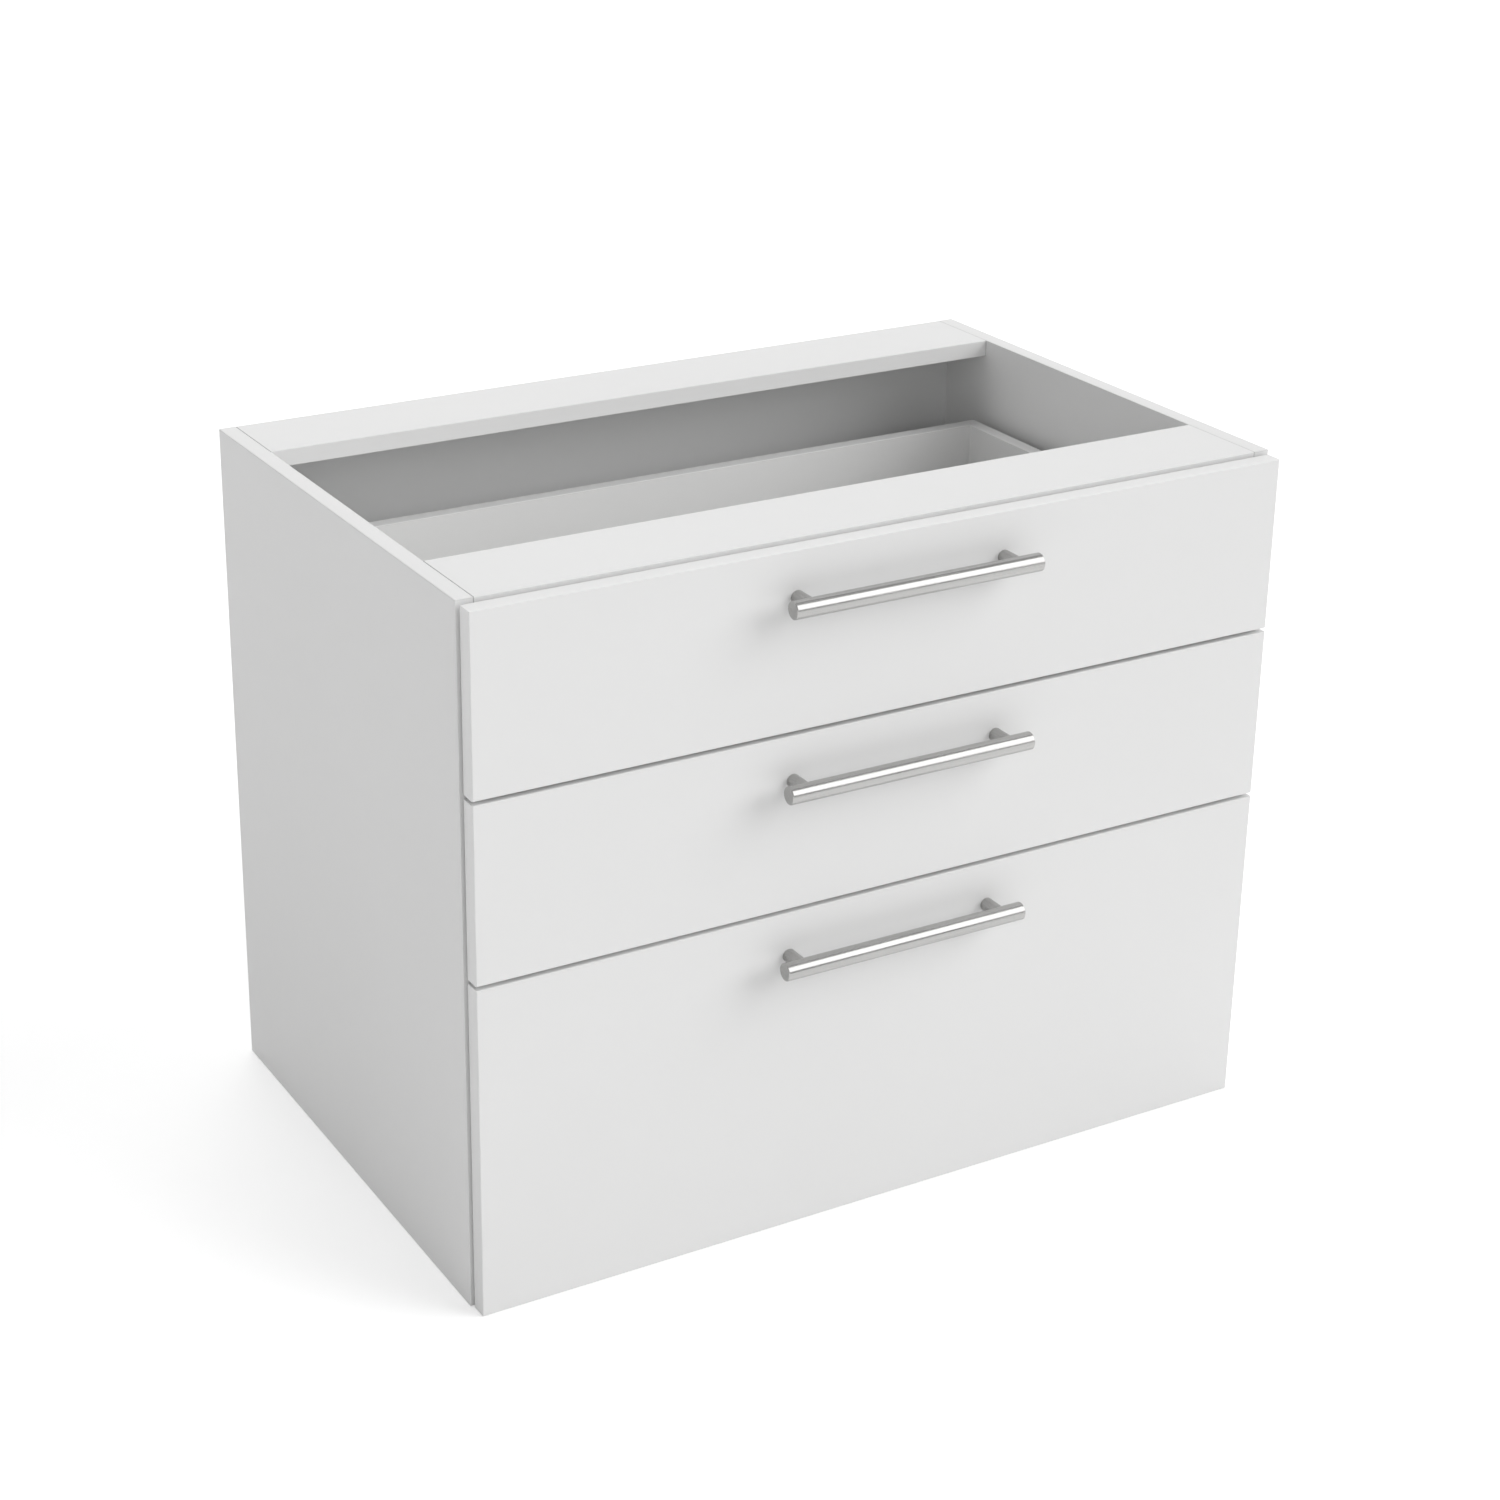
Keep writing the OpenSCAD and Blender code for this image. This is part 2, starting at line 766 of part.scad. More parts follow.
box_side(MIDDLE, RIGHT);  // middle_box_right
box_end(MIDDLE, front_back_y);  // middle_box_front
box_end(MIDDLE, box_back_y);  // middle_box_back
box_base(MIDDLE);  // middle_box_base
box_screws(MIDDLE);  // middle_box_screws
handle_bar(MIDDLE);  // middle_handle_bar
handle_posts(MIDDLE);  // middle_handle_posts
handle_screws(MIDDLE);  // middle_handle_screws
drawer_front(LOWER);  // lower_front
box_side(LOWER, LEFT);  // lower_box_left
box_side(LOWER, RIGHT);  // lower_box_right
box_end(LOWER, front_back_y);  // lower_box_front
box_end(LOWER, box_back_y);  // lower_box_back
box_base(LOWER);  // lower_box_base
box_screws(LOWER);  // lower_box_screws
handle_bar(LOWER);  // lower_handle_bar
handle_posts(LOWER);  // lower_handle_posts
handle_screws(LOWER);  // lower_handle_screws
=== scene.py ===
"""Kitchen drawer base cabinet: white boards, lacquered fronts, steel bar handles and telescopic slides."""

import math

import bmesh
import bpy
from mathutils import Matrix, Vector


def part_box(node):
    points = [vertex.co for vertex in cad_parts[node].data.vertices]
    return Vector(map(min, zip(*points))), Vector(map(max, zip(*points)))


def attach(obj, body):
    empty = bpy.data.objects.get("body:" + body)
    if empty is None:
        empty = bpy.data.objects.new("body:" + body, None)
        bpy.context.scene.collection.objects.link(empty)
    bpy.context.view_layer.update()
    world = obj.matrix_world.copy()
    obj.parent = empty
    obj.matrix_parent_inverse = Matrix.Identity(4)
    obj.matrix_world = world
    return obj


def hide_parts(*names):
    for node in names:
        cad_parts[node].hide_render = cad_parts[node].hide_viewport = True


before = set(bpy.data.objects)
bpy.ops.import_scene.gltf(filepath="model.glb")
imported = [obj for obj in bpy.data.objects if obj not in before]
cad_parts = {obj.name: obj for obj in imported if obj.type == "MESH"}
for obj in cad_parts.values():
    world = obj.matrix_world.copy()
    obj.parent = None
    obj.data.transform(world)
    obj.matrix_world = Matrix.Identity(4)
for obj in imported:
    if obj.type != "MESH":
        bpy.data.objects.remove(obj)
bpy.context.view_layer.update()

LEVELS = ("upper", "middle", "lower")

# Paint and board colours
LACQUER_WHITE = (0.815, 0.815, 0.812)
MELAMINE_WHITE = (0.805, 0.805, 0.802)
# The drawer boxes and the back panel are a little greyer than the carcass: partly their own board colour,
# partly painted shade that dims the inside of the cabinet.
BOX_WHITE_WITH_SHADE = (0.750, 0.750, 0.745)
BACK_WHITE_WITH_SHADE = (0.740, 0.742, 0.740)
BAND_GLUE = (0.62, 0.62, 0.61)
JOINT_SHADE = (0.50, 0.50, 0.495)

# Metals, wood and plastic
HANDLE_STEEL = (0.47, 0.467, 0.46)
ZINC_PLATE = (0.60, 0.61, 0.625)
ZINC_CLOUD = (0.625, 0.615, 0.585)
SCREW_ZINC = (0.63, 0.63, 0.62)
SCREW_COOL = (0.57, 0.58, 0.60)
SCREW_WARM = (0.66, 0.65, 0.62)
BALL_STEEL = (0.74, 0.74, 0.75)
BALL_SHADE = (0.70, 0.70, 0.71)
BEECH = (0.56, 0.37, 0.20)
BEECH_DARK = (0.42, 0.25, 0.12)
BUMPER_CLEAR = (0.72, 0.73, 0.74)
STOP_BLACK = (0.030, 0.030, 0.032)

# Roughness of the boards, the lacquer and the handles
MELAMINE_ROUGH = 0.46
BOX_ROUGH = 0.48
BACK_ROUGH = 0.50
LACQUER_ROUGH = 0.42
BAR_ROUGH = 0.22
POST_ROUGH = 0.30

# Depth of the boards' pearl grain, of the back's fibres, of the orange peel and of the brushing
PEARL_DEPTH = 0.000012
FIBRE_DEPTH = 0.000018
PEEL_DEPTH = 0.00003
BRUSH_DEPTH = 0.000006

# Thickness of the edge bands on the boards, and widths of their glue lines and of the butt joints
BAND_T = 0.001
GLUE_T = 0.00025
JOINT_T = 0.0006

# Bumper dots: rounding of the edge, rim of the face, and width and depth of the step round its dimple
DOT_ROUND = 0.0015
DOT_RIM = 0.0005
DIMPLE_STEP = 0.0004
DIMPLE_DEPTH = 0.0002

# Thickness of the slides' sheet steel
SHEET_T = 0.0012

# Slide stops: reach from the slide's outer face, half height, distances of both faces from the slide's rear
# end, and rounding of the long edges
STOP_REACH = 0.0098
STOP_HALF_H = 0.0115
STOP_FRONT = 0.0036
STOP_REAR = 0.0004
STOP_ROUND = 0.0022

# Cushion in a stop's front face, with a raised middle, and the hollow in its rear face
CUSHION_STEP = 0.0012
CUSHION_DEPTH = 0.0008
CUSHION_RISE = 0.0005
STOP_WALL = 0.0014
STOP_HOLLOW = 0.0010

# Release levers: distance behind the slide's front end, length, thickness and half height
LEVER_SETBACK = 0.150
LEVER_L = 0.062
LEVER_T = 0.0016
LEVER_HALF_H = 0.0055

# Thumb pad and hook of a lever: where the pad ends and the hook starts, how far each stands out, and the rim
# round each
PAD_END = 0.016
HOOK_START = 0.052
PAD_RISE = 0.0022
HOOK_RISE = 0.0030
PAD_RIM = 0.0012
HOOK_RIM = 0.0008

# Spring arm of a lever: rim and depth of its channel
ARM_RIM = 0.0022
ARM_DEPTH = 0.0007

# Rounding of a lever's edges, but not at its foot against the slide and not on the shortest edges
LEVER_ROUND = 0.0004
LEVER_FOOT = 0.0005
SHORT_EDGE = 0.0009

# How square to an axis a face or an edge lies to be counted, how close two points are to be merged, and the
# angle up to which edges are shaded smooth
SQUARE = 0.99
MERGE_GAP = 0.000005
SMOOTH_ANGLE = math.radians(35)

# Studio: light of the room, the paper on the floor, and how pale metal mirrors the room behind the camera
SKY = 0.20
FLOOR_GREY = 0.84
FLOOR_GLOW = 0.40
FLOOR_SIZE = 80.0
FLOOR_DROP = 0.0002
BACKDROP_WHITE = 1.0
WALL_GREY = 0.18
LEFT_WALL_GREY = 0.60
CEILING_GREY = 0.42

# The mirrored room: axis of the look, where a tone starts and ends along it, and both tones
MIRRORED_ROOM = (
    ("Z", 0.25, 0.60, WALL_GREY, CEILING_GREY),
    ("Y", -0.10, 0.50, 0.0, BACKDROP_WHITE),
    ("X", 0.38, 0.02, 0.0, LEFT_WALL_GREY),
)

# Lamps: name, azimuth, height, share of the light, spread, and whether metal mirrors them. The key and a
# small lamp on the left show in metal. Most of the fills are low, so the inside stays dim.
LAMPS = (
    ("key", 54.0, 30.0, 0.46, 54.0, True),
    ("key_fill", 54.0, 30.0, 0.16, 36.0, False),
    ("left_front", -35.0, 25.0, 0.08, 31.0, True),
    ("front_fill", -20.0, 10.0, 0.07, 24.0, False),
    ("left_fill", -95.0, 10.0, 0.105, 24.0, False),
    ("back_fill", 165.0, 20.0, 0.22, 60.0, False),
    ("ceiling", 160.0, 72.0, 0.33, 44.0, False),
)
LAMP_DISTANCE = 4.0

# Camera fitted to the cabinet's edges: its place, the directions right, up and back of it, lens and shift
CAMERA_PLACE = (-1.4466, -2.40275, 1.6155)
CAMERA_RIGHT = (0.875303, -0.483560, 0.003846)
CAMERA_UP = (0.175321, 0.324744, 0.929410)
CAMERA_BACK = (-0.450675, -0.812841, 0.369028)
CAMERA_SENSOR = 36.0
CAMERA_LENS = 70.315
CAMERA_SHIFT = (0.06436, -0.0680)
CAMERA_REACH = 200.0


# Materials in general


def shaded(colour, share):
    """The same colour, darker or lighter."""
    return tuple(share * part for part in colour)


class Finish:
    """One material: a Principled surface whose detail follows the piece's own place."""

    def __init__(self, name, colour, roughness, metallic=0.0):
        self.material = bpy.data.materials.new(name)
        self.material.use_nodes = True
        self.nodes = self.material.node_tree.nodes
        self.links = self.material.node_tree.links
        self.surface = self.nodes["Principled BSDF"]
        self.fixed("Base Color", (*colour, 1.0))
        self.fixed("Roughness", roughness)
        self.fixed("Metallic", metallic)
        self.place = self.nodes.new("ShaderNodeTexCoord").outputs["Object"]

    def fixed(self, socket, value):
        """Sets a value that is the same all over the surface."""
        self.surface.inputs[socket].default_value = value

    def join(self, output, target, socket):
        self.links.new(output, target.inputs[socket])

    def stretched(self, stretch):
        """The place, stretched so that a pattern runs along one direction."""
        mapping = self.nodes.new("ShaderNodeMapping")
        mapping.inputs["Scale"].default_value = stretch
        self.join(self.place, mapping, "Vector")
        return mapping.outputs["Vector"]

    def noise(self, scale, detail=2.0, stretch=None, roughness=0.5):
        """A cloudy pattern, finer with a larger scale."""
        texture = self.nodes.new("ShaderNodeTexNoise")
        texture.inputs["Scale"].default_value = scale
        texture.inputs["Detail"].default_value = detail
        texture.inputs["Roughness"].default_value = roughness
        self.join(self.stretched(stretch) if stretch else self.place, texture, "Vector")
        return texture.outputs["Fac"]

    def ranged(self, value, low=0.0, high=1.0, start=0.3, end=0.7):
        """Maps a pattern to the range from low to high."""
        node = self.nodes.new("ShaderNodeMapRange")
        node.inputs["From Min"].default_value = start
        node.inputs["From Max"].default_value = end
        node.inputs["To Min"].default_value = low
        node.inputs["To Max"].default_value = high
        self.join(value, node, "Value")
        return node.outputs["Result"]

    def blended(self, factor, first, second):
        """A colour between two colours, each given as numbers or as an output."""
        node = self.nodes.new("ShaderNodeMix")
        node.data_type = "RGBA"
        self.join(factor, node, "Factor")
        for socket, colour in ((node.inputs[6], first), (node.inputs[7], second)):
            if isinstance(colour, tuple):
                socket.default_value = (*colour, 1.0)
            else:
                self.links.new(colour, socket)
        return node.outputs[2]

    def coloured(self, output):
        self.join(output, self.surface, "Base Color")

    def roughened(self, output):
        self.join(output, self.surface, "Roughness")

    def bumped(self, heights):
        """Bumps from (pattern, depth in metres) pairs, one over the other."""
        normal = None
        for pattern, depth in heights:
            bump = self.nodes.new("ShaderNodeBump")
            bump.inputs["Strength"].default_value = 1.0
            bump.inputs["Distance"].default_value = depth
            self.join(pattern, bump, "Height")
            if normal:
                self.join(normal, bump, "Normal")
            normal = bump.outputs["Normal"]
        self.join(normal, self.surface, "Normal")

    def line_at(self, axis, place, width):
        """1 within a thin line across one axis, 0 elsewhere."""
        split = self.nodes.new("ShaderNodeSeparateXYZ")
        self.join(self.place, split, "Vector")
        near = self.nodes.new("ShaderNodeMath")
        near.operation = "COMPARE"
        near.inputs[1].default_value = place
        near.inputs[2].default_value = width / 2
        self.join(split.outputs[axis], near, 0)
        return near.outputs["Value"]


# Finishes of this cabinet


def board_finish(name, colour, roughness, grain_depth, band_lines=(), joint_lines=()):
    """Melamine-faced board: faint clouding, fine pearl grain, the thin glue lines of its edge bands and the
    shaded arrises of its butt joints."""
    board = Finish(name, colour, roughness)
    clouds = board.ranged(board.noise(2.5))
    tone = board.blended(clouds, shaded(colour, 0.985), colour)
    for lines, width, shade in ((band_lines, GLUE_T, BAND_GLUE), (joint_lines, JOINT_T, JOINT_SHADE)):
        for axis, place in lines:
            tone = board.blended(board.line_at(axis, place, width), tone, shade)
    board.coloured(tone)
    board.roughened(board.ranged(board.noise(55.0), roughness - 0.03, roughness + 0.03))
    pearl = board.noise(60.0, detail=1.0)
    grit = board.noise(1300.0)
    board.bumped([(pearl, grain_depth), (grit, grain_depth / 2)])
    board.fixed("Specular IOR Level", 0.45)
    return board.material


def lacquer_finish():
    """Silk-matt lacquer with a faint orange peel under a thin clear coat."""
    lacquer = Finish("front_lacquer", LACQUER_WHITE, LACQUER_ROUGH)
    clouds = lacquer.ranged(lacquer.noise(3.0))
    lacquer.coloured(lacquer.blended(clouds, shaded(LACQUER_WHITE, 0.988), LACQUER_WHITE))
    lacquer.roughened(lacquer.ranged(lacquer.noise(24.0), LACQUER_ROUGH - 0.03, LACQUER_ROUGH + 0.03))
    orange_peel = lacquer.noise(210.0, detail=1.0)
    dust = lacquer.noise(1900.0, detail=1.0)
    lacquer.bumped([(orange_peel, PEEL_DEPTH), (dust, PEEL_DEPTH / 5)])
    lacquer.fixed("Coat Weight", 0.12)
    lacquer.fixed("Coat Roughness", 0.3)
    return lacquer.material


def brushed_finish(name, roughness, stretch, turn_axis):
    """Brushed steel: long fine scratches along the piece, and a sheen drawn out round its axis."""
    steel = Finish(name, HANDLE_STEEL, roughness, metallic=1.0)
    scratches = steel.noise(900.0, detail=3.0, stretch=stretch, roughness=0.6)
    streaks = steel.ranged(steel.noise(160.0, stretch=stretch))
    steel.coloured(steel.blended(streaks, shaded(HANDLE_STEEL, 0.93), HANDLE_STEEL))
    steel.roughened(steel.ranged(scratches, roughness - 0.06, roughness + 0.08))
    steel.bumped([(scratches, BRUSH_DEPTH)])
    tangent = steel.nodes.new("ShaderNodeTangent")
    tangent.direction_type = "RADIAL"
    tangent.axis = turn_axis
    steel.join(tangent.outputs["Tangent"], steel.surface, "Tangent")
    steel.fixed("Anisotropic", 0.55)
    return steel.material


def zinc_finish():
    """Zinc-plated sheet: cloudy plating and faint rolling lines along the slide."""
    zinc = Finish("zinc_plate", ZINC_PLATE, 0.34, metallic=1.0)
    clouds = zinc.ranged(zinc.noise(45.0, detail=4.0), start=0.35, end=0.65)
    zinc.coloured(zinc.blended(clouds, ZINC_PLATE, ZINC_CLOUD))
    rolling = zinc.noise(700.0, stretch=(1.0, 0.02, 1.0))
    zinc.roughened(zinc.ranged(rolling, 0.28, 0.42))
    zinc.bumped([(rolling, 0.00001)])
    return zinc.material


def screw_finish():
    """Zinc-plated screws, from bluish to yellowish."""
    screw = Finish("screw_zinc", SCREW_ZINC, 0.30, metallic=1.0)
    screw.coloured(screw.blended(screw.ranged(screw.noise(400.0)), SCREW_COOL, SCREW_WARM))
    screw.roughened(screw.ranged(screw.noise(900.0), 0.24, 0.38))
    screw.bumped([(screw.noise(1500.0), 0.000008)])
    return screw.material


def ball_finish():
    """Polished bearing balls under a trace of grease."""
    ball = Finish("ball_steel", BALL_STEEL, 0.08, metallic=1.0)
    ball.roughened(ball.ranged(ball.noise(1200.0), 0.05, 0.14))
    ball.coloured(ball.blended(ball.ranged(ball.noise(300.0)), BALL_SHADE, BALL_STEEL))
    return ball.material


def beech_finish():
    """Ribbed beech dowels: grain along X with small dark flecks."""
    beech = Finish("dowel_beech", BEECH, 0.62)
    grain = beech.noise(500.0, detail=4.0, stretch=(0.06, 1.0, 1.0), roughness=0.65)
    beech.coloured(beech.blended(beech.ranged(grain, start=0.38, end=0.68), BEECH_DARK, BEECH))
    beech.roughened(beech.ranged(grain, 0.68, 0.55))
    beech.bumped([(grain, 0.00005)])
    return beech.material


def stop_finish():
    """Moulded black plastic: fine spark-eroded grain, slightly worn to a sheen."""
    stop = Finish("stop_plastic", STOP_BLACK, 0.48)
    wear = stop.noise(180.0, detail=3.0)
    stop.coloured(stop.blended(stop.ranged(wear), STOP_BLACK, shaded(STOP_BLACK, 1.5)))
    stop.roughened(stop.ranged(wear, 0.42, 0.56))
    stop.bumped([(stop.noise(2600.0), 0.00002)])
    return stop.material


def bumper_finish():
    """Soft clear plastic dots."""
    bumper = Finish("bumper_plastic", BUMPER_CLEAR, 0.35)
    bumper.fixed("Transmission Weight", 0.55)
    bumper.fixed("IOR", 1.46)
    bumper.roughened(bumper.ranged(bumper.noise(600.0), 0.30, 0.42))
    bumper.bumped([(bumper.noise(900.0), 0.00001)])
    return bumper.material


# Dressing of the CAD nodes


def dress(material, nodes):
    """Gives CAD nodes their finish."""
    for name in nodes:
        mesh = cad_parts[name].data
        if not mesh.materials:
            mesh.materials.append(material)
        for index in range(len(mesh.materials)):
            mesh.materials[index] = material


def melamine(name, band_lines, joint_lines=()):
    """White melamine of the carcass, with the lines of one board."""
    return board_finish(name, MELAMINE_WHITE, MELAMINE_ROUGH, PEARL_DEPTH, band_lines, joint_lines)


def end_joints(board):
    """Lines on a board's two ends, where it butts against the side panels."""
    low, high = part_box(board)
    return [("X", low.x + JOINT_T / 2), ("X", high.x - JOINT_T / 2)]


def dress_carcass():
    low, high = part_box("left_side_panel")
    front_band = ("Y", low.y + BAND_T)
    top_band = ("Z", high.z - BAND_T)
    dress(melamine("side_melamine", [front_band, top_band]), ["left_side_panel", "right_side_panel"])
    for rail in ("front_top_rail", "rear_top_rail"):
        low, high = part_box(rail)
        both_bands = [("Y", low.y + BAND_T), ("Y", high.y - BAND_T)]
        dress(melamine(rail + "_melamine", both_bands, end_joints(rail)), [rail])
    dress(melamine("bottom_melamine", [front_band], end_joints("bottom_panel")), ["bottom_panel"])
    dress(board_finish("back_fibreboard", BACK_WHITE_WITH_SHADE, BACK_ROUGH, FIBRE_DEPTH), ["back_panel"])
    dress(beech_finish(), ["carcass_dowels"])


def dress_drawers():
    for level in LEVELS:
        rim_band = ("Z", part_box(level + "_box_left")[1].z - BAND_T)
        box = board_finish(level + "_box_melamine", BOX_WHITE_WITH_SHADE, BOX_ROUGH, PEARL_DEPTH, [rim_band])
        dress(box, [level + "_box_" + part for part in ("left", "right", "front", "back", "base")])
    dress(lacquer_finish(), [level + "_front" for level in LEVELS])


def dress_metal():
    bar = brushed_finish("bar_steel", BAR_ROUGH, (0.012, 1.0, 1.0), "X")
    dress(bar, [level + "_handle_bar" for level in LEVELS])
    post = brushed_finish("post_steel", POST_ROUGH, (1.0, 0.03, 1.0), "Y")
    dress(post, [level + "_handle_posts" for level in LEVELS])
    slides = [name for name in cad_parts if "_slide_" in name and not name.endswith("_balls")]
    dress(zinc_finish(), slides)
    dress(ball_finish(), [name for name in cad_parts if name.endswith("_slide_balls")])
    dress(screw_finish(), [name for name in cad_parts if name.endswith("_screws")])


# Shaping by hand


def clear_selection():
    if bpy.context.mode != "OBJECT":
        bpy.ops.object.mode_set(mode="OBJECT")
    bpy.ops.object.select_all(action="DESELECT")


def pick(kind, test):
    """Selects the faces or edges in edit mode that pass a test."""
    bpy.ops.mesh.select_mode(type=kind)
    bpy.ops.mesh.select_all(action="DESELECT")
    mesh = bpy.context.active_object.data
    shape = bmesh.from_edit_mesh(mesh)
    for item in shape.faces if kind == "FACE" else shape.edges:
        if test(item):
            item.select_set(True)
    shape.select_flush_mode()
    bmesh.update_edit_mesh(mesh)


def edges_along(axis):
    """A test for straight edges along an axis."""
    return lambda edge: abs((edge.verts[0].co - edge.verts[1].co).normalized()[axis]) > SQUARE


def facing(axis, sign):
    """A test for faces that look one way along an axis."""
    return lambda face: sign * face.normal[axis] > SQUARE


def facing_left(start, end):
    """A test for faces that look to the left, with their middle between two places along Y."""
    return lambda face: face.normal.x < -SQUARE and start < face.calc_center_median().y < end


def block(low, high):
    """A box between two corners, left in edit mode."""
    clear_selection()
    low, high = Vector(low), Vector(high)
    bpy.ops.mesh.primitive_cube_add(size=1.0, location=(low + high) / 2, scale=high - low)
    bpy.ops.object.transform_apply(location=True, rotation=True, scale=True)
    bpy.ops.object.mode_set(mode="EDIT")
    return bpy.context.active_object


def cut_across(y):
    """A cut through the whole piece, square to Y."""
    bpy.ops.mesh.select_all(action="SELECT")
    bpy.ops.mesh.bisect(plane_co=(0.0, y, 0.0), plane_no=(0.0, 1.0, 0.0))


def raise_left(test, rim, rise):
    """Insets the faces that pass a test and draws them out to the left."""
    pick("FACE", test)
    bpy.ops.mesh.inset(thickness=rim, depth=0.0)
    bpy.ops.mesh.extrude_region_move(TRANSFORM_OT_translate={"value": (-rise, 0.0, 0.0)})


def finished(piece, material):
    """Back to object mode, normals outwards, smooth over soft edges, in its material."""
    bpy.ops.mesh.select_all(action="SELECT")
    bpy.ops.mesh.remove_doubles(threshold=MERGE_GAP)
    bpy.ops.mesh.normals_make_consistent(inside=False)
    bpy.ops.object.mode_set(mode="OBJECT")
    bpy.ops.object.shade_smooth_by_angle(angle=SMOOTH_ANGLE)
    piece.data.materials.clear()
    piece.data.materials.append(material)
    return piece


def copied(piece, move, mirrored):
    """A copy with its own mesh, moved, or mirrored to the other side of the cabinet."""
    twin = piece.copy()
    twin.data = piece.data.copy()
    bpy.context.scene.collection.objects.link(twin)
    if mirrored:
        twin.data.transform(Matrix.Scale(-1.0, 4, (1.0, 0.0, 0.0)))
        twin.data.flip_normals()
    twin.data.transform(Matrix.Translation(move))
    return twin


def repeated(piece, moves, name, body):
    """One piece out of copies at each move, on both sides of the cabinet, named and riding on its body."""
    copies = [copied(piece, move, mirrored) for move in moves for mirrored in (False, True)]
    clear_selection()
    for twin in copies:
        twin.select_set(True)
    bpy.context.view_layer.objects.active = copies[0]
    bpy.ops.object.join()
    whole = bpy.context.active_object
    whole.name = name
    whole.data.name = name
    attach(whole, body)
    return whole


def discard(piece):
    """Takes away the pattern piece that the copies were made from."""
    bpy.data.objects.remove(piece, do_unlink=True)


# Small plastic parts


def front_bumpers():
    """Domed clear dots between the carcass edges and the backs of the fronts."""
    low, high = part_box("front_bumpers")
    panel_low, panel_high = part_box("left_side_panel")
    middle_x = (panel_low.x + panel_high.x) / 2
    radius = middle_x - low.x
    middle_z = low.z + radius
    inset = middle_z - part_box("lower_front")[0].z
    clear_selection()
    bpy.ops.mesh.primitive_cylinder_add(
        vertices=48, radius=radius, depth=high.y - low.y, rotation=(math.radians(90), 0.0, 0.0),
        location=(middle_x, (low.y + high.y) / 2, middle_z),
    )
    dot = bpy.context.active_object
    bpy.ops.object.transform_apply(location=True, rotation=True, scale=True)
    bpy.ops.object.mode_set(mode="EDIT")
    half_way = (low.y + high.y) / 2
    pick("EDGE", lambda edge: all(point.co.y < half_way for point in edge.verts))
    bpy.ops.mesh.bevel(offset=DOT_ROUND, segments=6, profile=0.5, affect="EDGES")
    pick("FACE", facing(1, -1))
    bpy.ops.mesh.inset(thickness=DOT_RIM, depth=0.0)
    bpy.ops.mesh.inset(thickness=DIMPLE_STEP, depth=-DIMPLE_DEPTH)
    finished(dot, bumper_finish())
    moves = []
    for level in LEVELS:
        front_low, front_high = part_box(level + "_front")
        for z in (front_low.z + inset, front_high.z - inset):
            moves.append((0.0, 0.0, z - middle_z))
    bumpers = repeated(dot, moves, "door_bumpers", "carcass")
    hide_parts("front_bumpers")
    discard(dot)


def slide_place(level):
    """The left slide of a drawer: its outer face, front end and middle height, and its rear end."""
    low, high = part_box(level + "_slide_outer_left")
    return Vector((low.x, low.y, (low.z + high.z) / 2)), high.y


def slide_moves():
    """Ways from the upper left slide to that of each drawer."""
    upper = slide_place("upper")[0]
    return [slide_place(level)[0] - upper for level in LEVELS]


def slide_stops(plastic):
    """Black stops at the closed ends of the outer slide members, each with a ridged cushion in front."""
    corner, end_y = slide_place("upper")
    stop = block(
        (corner.x + SHEET_T, end_y - STOP_FRONT, corner.z - STOP_HALF_H),
        (corner.x + STOP_REACH, end_y - STOP_REAR, corner.z + STOP_HALF_H),
    )
    pick("EDGE", edges_along(1))
    bpy.ops.mesh.bevel(offset=STOP_ROUND, segments=5, affect="EDGES")
    pick("FACE", facing(1, -1))
    bpy.ops.mesh.inset(thickness=CUSHION_STEP, depth=-CUSHION_DEPTH)
    bpy.ops.mesh.inset(thickness=CUSHION_STEP, depth=CUSHION_RISE)
    pick("FACE", facing(1, 1))
    bpy.ops.mesh.inset(thickness=STOP_WALL, depth=-STOP_HOLLOW)
    finished(stop, plastic)
    repeated(stop, slide_moves(), "slide_stops", "carcass")
    discard(stop)


def release_levers(plastic):
    """Black levers in the inner slide members that free a drawer: a thumb pad, a spring arm and a hook."""
    corner = slide_place("upper")[0]
    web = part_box("upper_slide_inner_left")[1].x - SHEET_T
    start = corner.y + LEVER_SETBACK
    pad_end = start + PAD_END
    hook_start = start + HOOK_START
    end = start + LEVER_L
    lever = block(
        (web - LEVER_T, start, corner.z - LEVER_HALF_H),
        (web, end, corner.z + LEVER_HALF_H),
    )
    cut_across(pad_end)
    cut_across(hook_start)
    raise_left(facing_left(start, pad_end), PAD_RIM, PAD_RISE)
    raise_left(facing_left(hook_start, end), HOOK_RIM, HOOK_RISE)
    pick("FACE", facing_left(pad_end, hook_start))
    bpy.ops.mesh.inset(thickness=ARM_RIM, depth=-ARM_DEPTH)
    outer = web - LEVER_FOOT

    def to_round(edge):
        return edge.calc_length() > SHORT_EDGE and all(point.co.x < outer for point in edge.verts)

    pick("EDGE", to_round)
    bpy.ops.mesh.bevel(offset=LEVER_ROUND, segments=3, affect="EDGES")
    finished(lever, plastic)
    for level, move in zip(LEVELS, slide_moves()):
        pair = repeated(lever, [move], level + "_release_levers", level + "_drawer")
    discard(lever)


# Studio


def lamp(name, azimuth, height, share, spread, mirrored):
    """A wide soft lamp far away, azimuth counted from the front to the right, all angles in degrees.
    share is the light that it gives a face turned straight at it. Metal shows a mirrored lamp."""
    light = bpy.data.lights.new(name, "SUN")
    light.energy = math.pi * share
    light.angle = math.radians(spread)
    lamp_object = bpy.data.objects.new(name, light)
    bpy.context.scene.collection.objects.link(lamp_object)
    turn, lift = math.radians(azimuth), math.radians(height)
    towards = Vector((math.sin(turn) * math.cos(lift), -math.cos(turn) * math.cos(lift), math.sin(lift)))
    lamp_object.rotation_mode = "QUATERNION"
    lamp_object.rotation_quaternion = towards.to_track_quat("Z", "Y")
    lamp_object.location = towards * LAMP_DISTANCE
    lamp_object.visible_glossy = mirrored


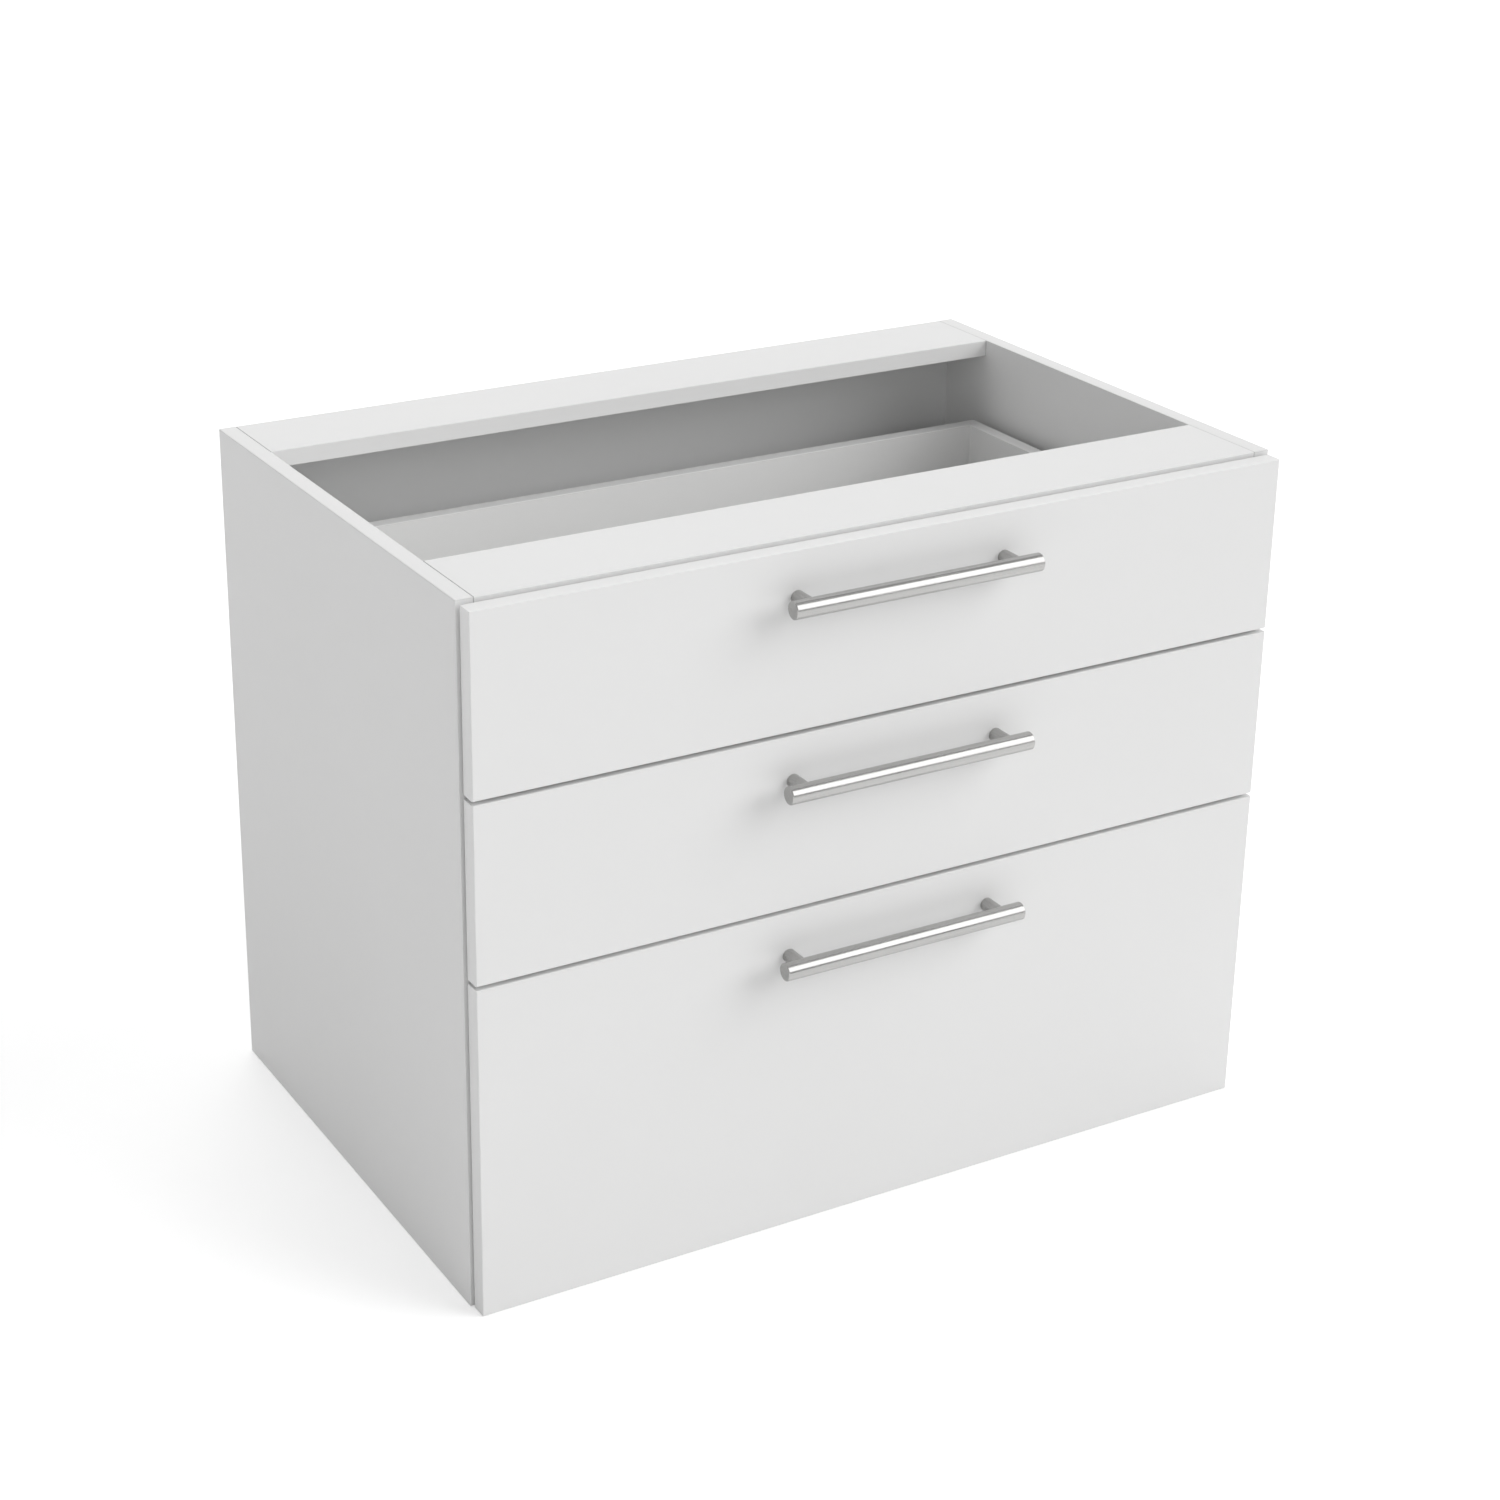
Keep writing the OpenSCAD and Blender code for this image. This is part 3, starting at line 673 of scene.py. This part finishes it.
def lighter_of(nodes, links, first, second):
    """The larger of two outputs."""
    larger = nodes.new("ShaderNodeMath")
    larger.operation = "MAXIMUM"
    links.new(first, larger.inputs[0])
    links.new(second, larger.inputs[1])
    return larger.outputs["Value"]


def seen_directly(nodes, links):
    """1 where the camera, a mirror or a clear piece looks at the backdrop, 0 where it only gives light."""
    path = nodes.new("ShaderNodeLightPath")
    share = path.outputs["Is Camera Ray"]
    for ray in ("Is Glossy Ray", "Is Transmission Ray"):
        share = lighter_of(nodes, links, share, path.outputs[ray])
    return share


def studio_world():
    """Even light from all round. Mirrors show a dim wall in front, a paler one on the left, a ceiling and a
    white backdrop behind."""
    world = bpy.data.worlds.new("studio")
    world.use_nodes = True
    bpy.context.scene.world = world
    nodes, links = world.node_tree.nodes, world.node_tree.links
    room = nodes["Background"]
    room.inputs["Color"].default_value = (SKY, SKY, SKY, 1.0)
    look = nodes.new("ShaderNodeSeparateXYZ")
    links.new(nodes.new("ShaderNodeTexCoord").outputs["Generated"], look.inputs["Vector"])
    tone = nodes.new("ShaderNodeLightPath").outputs["Is Camera Ray"]
    for axis, start, end, low, high in MIRRORED_ROOM:
        part = nodes.new("ShaderNodeMapRange")
        part.interpolation_type = "SMOOTHSTEP"
        part.inputs["From Min"].default_value = start
        part.inputs["From Max"].default_value = end
        part.inputs["To Min"].default_value = low
        part.inputs["To Max"].default_value = high
        links.new(look.outputs[axis], part.inputs["Value"])
        tone = lighter_of(nodes, links, part.outputs["Result"], tone)
    backdrop = nodes.new("ShaderNodeBackground")
    backdrop.inputs["Color"].default_value = (1.0, 1.0, 1.0, 1.0)
    links.new(tone, backdrop.inputs["Strength"])
    mix = nodes.new("ShaderNodeMixShader")
    links.new(seen_directly(nodes, links), mix.inputs["Fac"])
    links.new(room.outputs["Background"], mix.inputs[1])
    links.new(backdrop.outputs["Background"], mix.inputs[2])
    links.new(mix.outputs["Shader"], nodes["World Output"].inputs["Surface"])


def studio_floor():
    """A sheet of pale paper, just under the cabinet, that keeps its shadow and shows white all round."""
    clear_selection()
    bpy.ops.mesh.primitive_plane_add(size=FLOOR_SIZE, location=(0.0, 0.0, -FLOOR_DROP))
    floor = bpy.context.active_object
    floor.name = "floor"
    bpy.ops.object.transform_apply(location=True, rotation=True, scale=True)
    material = bpy.data.materials.new("floor_paper")
    material.use_nodes = True
    nodes, links = material.node_tree.nodes, material.node_tree.links
    nodes.clear()
    paper = nodes.new("ShaderNodeBsdfDiffuse")
    paper.inputs["Color"].default_value = (FLOOR_GREY, FLOOR_GREY, FLOOR_GREY, 1.0)
    glow = nodes.new("ShaderNodeEmission")
    glow.inputs["Strength"].default_value = FLOOR_GLOW
    both = nodes.new("ShaderNodeAddShader")
    links.new(paper.outputs["BSDF"], both.inputs[0])
    links.new(glow.outputs["Emission"], both.inputs[1])
    mix = nodes.new("ShaderNodeMixShader")
    links.new(seen_directly(nodes, links), mix.inputs["Fac"])
    links.new(paper.outputs["BSDF"], mix.inputs[1])
    links.new(both.outputs["Shader"], mix.inputs[2])
    output = nodes.new("ShaderNodeOutputMaterial")
    links.new(mix.outputs["Shader"], output.inputs["Surface"])
    floor.data.materials.append(material)


def photo_camera():
    """The photograph's camera."""
    camera_data = bpy.data.cameras.new("camera")
    camera_data.sensor_fit = "HORIZONTAL"
    camera_data.sensor_width = CAMERA_SENSOR
    camera_data.lens = CAMERA_LENS
    camera_data.shift_x, camera_data.shift_y = CAMERA_SHIFT
    camera_data.clip_end = CAMERA_REACH
    camera = bpy.data.objects.new("camera", camera_data)
    bpy.context.scene.collection.objects.link(camera)
    turn = Matrix((CAMERA_RIGHT, CAMERA_UP, CAMERA_BACK)).transposed()
    camera.matrix_world = Matrix.Translation(CAMERA_PLACE) @ turn.to_4x4()
    bpy.context.scene.camera = camera


# The part

dress_carcass()
dress_drawers()
dress_metal()
front_bumpers()
black_plastic = stop_finish()
slide_stops(black_plastic)
release_levers(black_plastic)

studio_world()
studio_floor()
for lamp_row in LAMPS:
    lamp(*lamp_row)
photo_camera()
bpy.context.scene.view_settings.view_transform = "Standard"

clear_selection()
